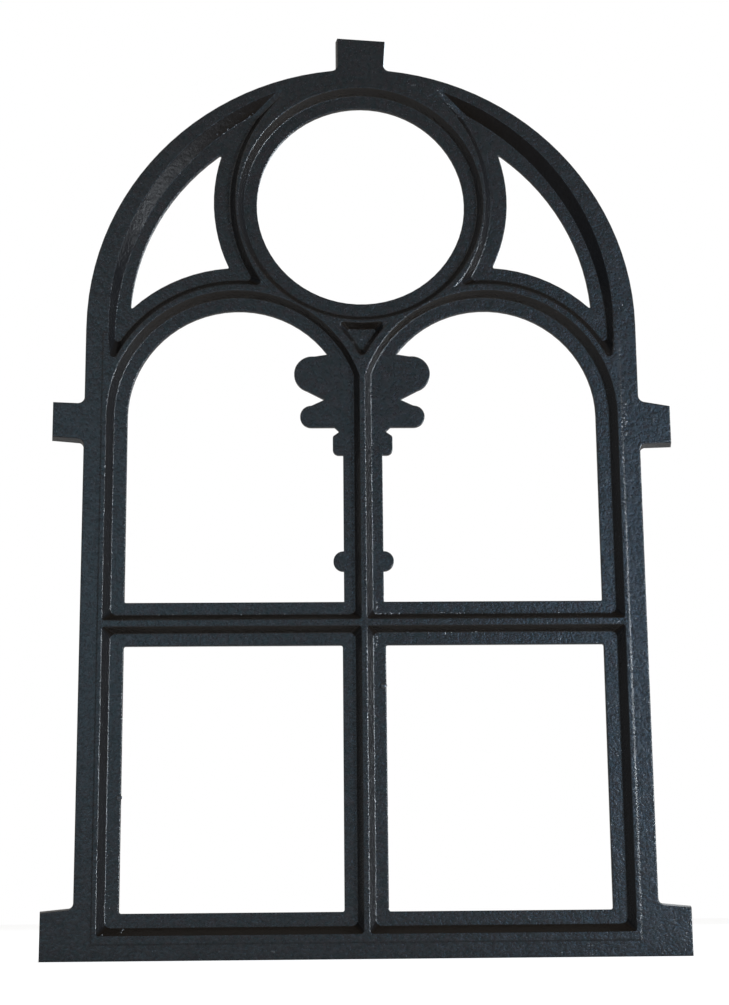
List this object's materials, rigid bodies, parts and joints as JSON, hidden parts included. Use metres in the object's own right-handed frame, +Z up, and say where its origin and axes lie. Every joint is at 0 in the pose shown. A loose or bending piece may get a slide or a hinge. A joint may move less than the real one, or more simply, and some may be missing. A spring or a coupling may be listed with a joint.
{
  "type": "cast iron barn window frame",
  "caption": "Arched cast iron window frame with round-headed upper lights, a round light, curved spandrels, a column-like mullion and lugs that are built into the wall.",
  "frame": {"origin": "middle of the bed face under the bottom bar, at half the frame's depth", "axes": "+X across the window to the right seen from the glazing side, +Y from the glazing side towards the flat outdoor face, +Z up"},
  "size_m": [0.634, 0.014, 0.9571],
  "materials": {
    "painted_iron": "semi-gloss black paint on a rough casting"
  },
  "bodies": {
    "root": {"window_casting": "painted_iron"}
  },
  "joints": []
}
